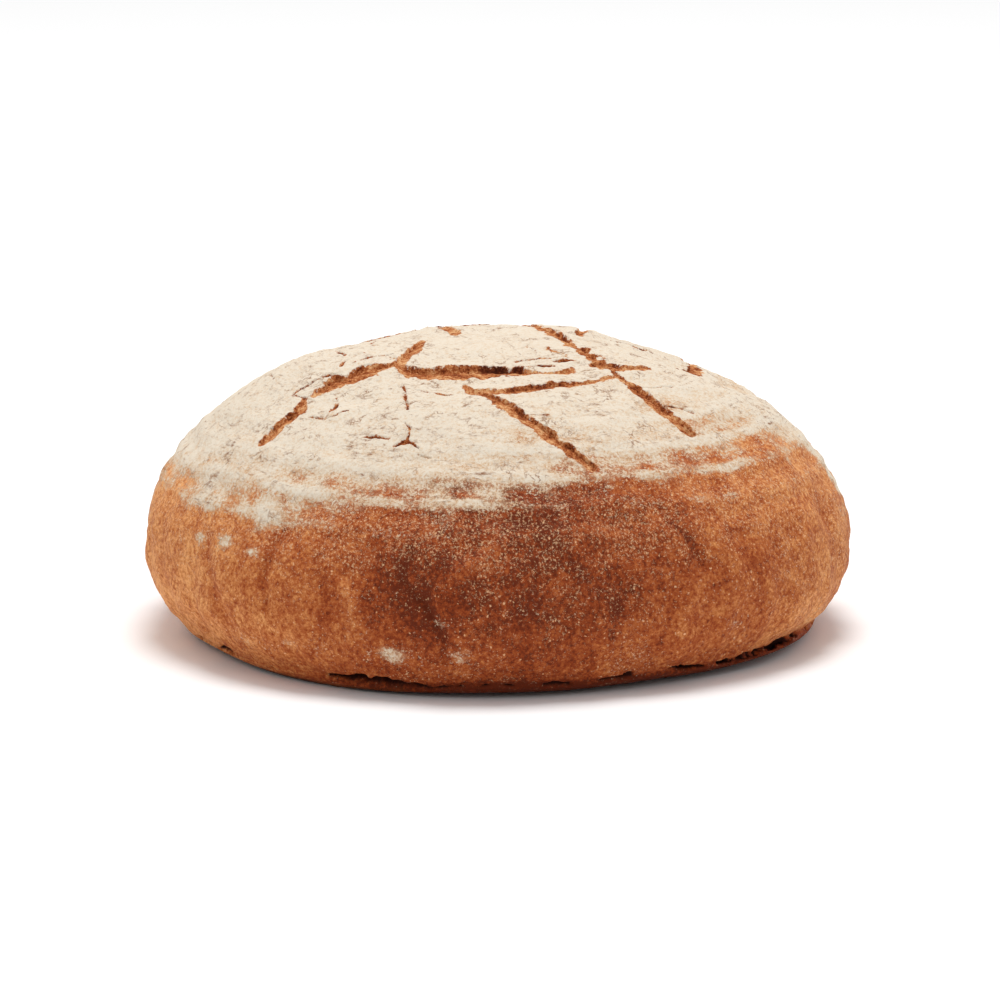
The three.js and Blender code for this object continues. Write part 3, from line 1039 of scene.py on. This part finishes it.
def siftedGrains(skin):
    # Single grains of flour over the bare crust, thicker in patches, and a finer powder between them
    dust = lumps("dustClumps", lumps("dustPatches", mask["dust"]))
    cell = addNode(tree, "TexVoronoi", {
        "Vector": swayed("grainSway"), "Scale": 1 / (finish["grainSize"] * mm),
    })
    chance = addNode(tree, "SeparateColor", {"Color": cell.outputs["Color"]})
    share = addNode(tree, "Math", {0: dust, 1: finish["grainShare"]}, operation="MULTIPLY")
    lies = addNode(tree, "Math", {0: chance.outputs["Red"], 1: share}, operation="LESS_THAN")
    least, more = finish["grainRadius"]
    rim = addNode(tree, "Math", {0: chance.outputs["Green"], 1: more, 2: least}, operation="MULTIPLY_ADD")
    inside = addNode(tree, "Math", {0: rim, 1: cell.outputs["Distance"]}, operation="SUBTRACT")
    shape = addNode(tree, "MapRange", {"Value": inside, **finish["grainRange"]})
    grains = addNode(tree, "Math", {0: lies, 1: shape}, operation="MULTIPLY")
    powderEdge = addNode(tree, "MapRange", {"Value": dust, **finish["powderEdgeRange"]})
    overEdge = addNode(tree, "Math", {0: lumps("powder"), 1: powderEdge}, operation="SUBTRACT")
    powder = addNode(tree, "MapRange", {"Value": overEdge, **finish["powderRange"]})
    dusting = addNode(tree, "Math", {0: grains, 1: powder}, operation="MAXIMUM")
    return addNode(tree, "Mix", {0: dusting, 6: skin, 7: finish["crustGrain"]}, data_type="RGBA")


def partedFlour(flourSum):
    # The flour's own skin: pits and short streaks where it dried and parted, and crackle in patches
    tone = addNode(tree, "MapRange", {"Value": lumps("flourTones", flourSum), **finish["flourToneRange"]})
    flour = addNode(tree, "Mix", {0: tone, 6: finish["flourThin"], 7: finish["flour"]}, data_type="RGBA")
    pits = addNode(tree, "MapRange", {
        "Value": lumps("pits", lumps("pitPatches", lumps("streaks", place=wound))), **finish["pitRange"],
    }, interpolation_type="SMOOTHSTEP")
    plates = addNode(tree, "TexVoronoi", {
        "Vector": swayed("crackleSway"), "Scale": 1 / (finish["crackleSize"] * mm),
    }, feature="DISTANCE_TO_EDGE")
    line = addNode(tree, "MapRange", {"Value": plates.outputs["Distance"], **finish["crackleRange"]})
    patch = addNode(tree, "MapRange", {"Value": lumps("cracklePatches"), **finish["cracklePatchRange"]})
    crackle = addNode(tree, "Math", {0: line, 1: patch}, operation="MULTIPLY")
    parted = addNode(tree, "Math", {0: pits, 1: crackle}, operation="MAXIMUM")
    return addNode(tree, "Mix", {0: parted, 6: flour, 7: finish["flourPit"]}, data_type="RGBA")


def flouredSkin(dusted):
    # A thin veil first, then the cover broken into flecks where it thins
    veil = addNode(tree, "MapRange", {"Value": mask["cover"], **finish["veilRange"]})
    veiled = addNode(tree, "Mix", {0: veil, 6: dusted, 7: finish["flourVeil"]}, data_type="RGBA")
    flourSum = lumps("flourFlecks", lumps("flourGrains", mask["cover"]), wound)
    flourMask = addNode(tree, "MapRange", {
        "Value": flourSum, **finish["flourRange"],
    }, interpolation_type="SMOOTHSTEP")
    floured = addNode(tree, "Mix", {0: flourMask, 6: veiled, 7: partedFlour(flourSum)}, data_type="RGBA")
    return floured, flourMask


def openedCrumb(floured):
    # Crumb torn open with a ragged edge, drier than the crust, darkened where the ear lifts over it: partly
    # scorch, partly painted shade
    light, earShadeFall = finish["crumbLight"]
    shadeUnderEar = addNode(tree, "Math", {0: mask["shade"], 1: earShadeFall, 2: light}, operation="MULTIPLY_ADD")
    crumb = addNode(tree, "ValToRGB", {
        "Fac": lumps("crumbShades", lumps("crumbHoles", shadeUnderEar)),
    }, stops=finish["crumb"])
    tornEdge = addNode(tree, "MapRange", {
        "Value": lumps("tornChips", mask["torn"]), **finish["tornRange"],
    }, interpolation_type="SMOOTHSTEP")
    bared = addNode(tree, "Mix", {0: tornEdge, 6: floured, 7: crumb}, data_type="RGBA")
    shadeScorchEdge = addNode(tree, "MapRange", {
        "Value": lumps("shadeScorchChips", mask["shade"]), **finish["shadeScorchRange"],
    }, interpolation_type="SMOOTHSTEP")
    shadedAndScorched = addNode(tree, "Math", {0: shadeScorchEdge, 1: tornEdge}, operation="MULTIPLY")
    return addNode(tree, "Mix", {0: shadedAndScorched, 6: bared, 7: finish["shadeAndScorch"]}, data_type="RGBA")


def footAndSeam(side):
    # Bottom crust, and painted shade inside the seam's gap
    sole = addNode(tree, "ValToRGB", {
        "Fac": lumps("soleGrains", lumps("soleBlotches", finish["soleTone"])),
    }, stops=finish["sole"])
    footed = addNode(tree, "Mix", {0: mask["hearthSide"], 6: side, 7: sole}, data_type="RGBA")
    gapEdge = addNode(tree, "MapRange", {
        "Value": lumps("seamChips", mask["gap"]), **finish["seamRange"],
    }, interpolation_type="SMOOTHSTEP")
    return addNode(tree, "Mix", {0: gapEdge, 6: footed, 7: finish["shadeAndScorch"]}, data_type="RGBA")


def crustSurface():
    floured, flourMask = flouredSkin(siftedGrains(brownedSkinWithPaintedLight()))
    roughness = addNode(tree, "MapRange", {"Value": flourMask, **finish["roughnessRange"]})
    wrinkled = addNode(tree, "Math", {0: ridges, 1: finish["bumpWrinkle"]}, operation="MINIMUM")
    skin = addNode(tree, "Bump", {
        "Strength": finish["bumpStrength"], "Distance": finish["bumpHeight"],
        "Height": lumps("bumpGrains", lumps("bumpSpecks", wrinkled)),
    })
    shader = addNode(tree, "BsdfPrincipled", {
        "Base Color": footAndSeam(openedCrumb(floured)), "Roughness": roughness, "IOR": finish["index"],
        "Specular IOR Level": finish["gloss"], "Normal": skin,
    })
    addNode(tree, "OutputMaterial", {"Surface": shader})


crustSurface()
loaf.data.materials.append(bakedCrust)
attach(loaf, "root")
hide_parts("loaf")
print("crust finished")
